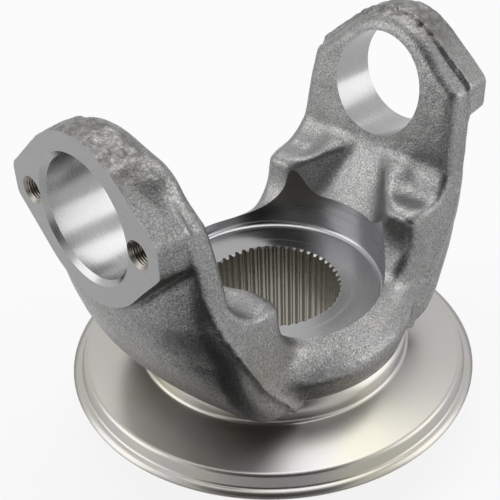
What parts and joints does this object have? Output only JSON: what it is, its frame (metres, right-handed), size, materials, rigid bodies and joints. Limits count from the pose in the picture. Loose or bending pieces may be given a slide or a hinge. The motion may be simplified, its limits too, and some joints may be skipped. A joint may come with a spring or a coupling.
{
  "type": "forged yoke",
  "caption": "Splined end yoke with two bored and tapped ears, a deep counterbore between its lugs, and a plated dust slinger pressed on below its ring.",
  "frame": {"origin": "centre of the hub's end face, on the spline axis", "axes": "+Z along the spline axis towards the ears, X along the axis of the two cap bores, Y across the ears"},
  "size_m": [0.1948, 0.1948, 0.1762],
  "materials": {
    "forged_steel": "scaled dark grey forging, with bright turned and bored faces and a dark phosphated splined bore",
    "zinc_plate": "satin zinc plated pressed sheet steel"
  },
  "bodies": {
    "root": {"yoke": "forged_steel", "slinger": "zinc_plate"}
  },
  "joints": []
}
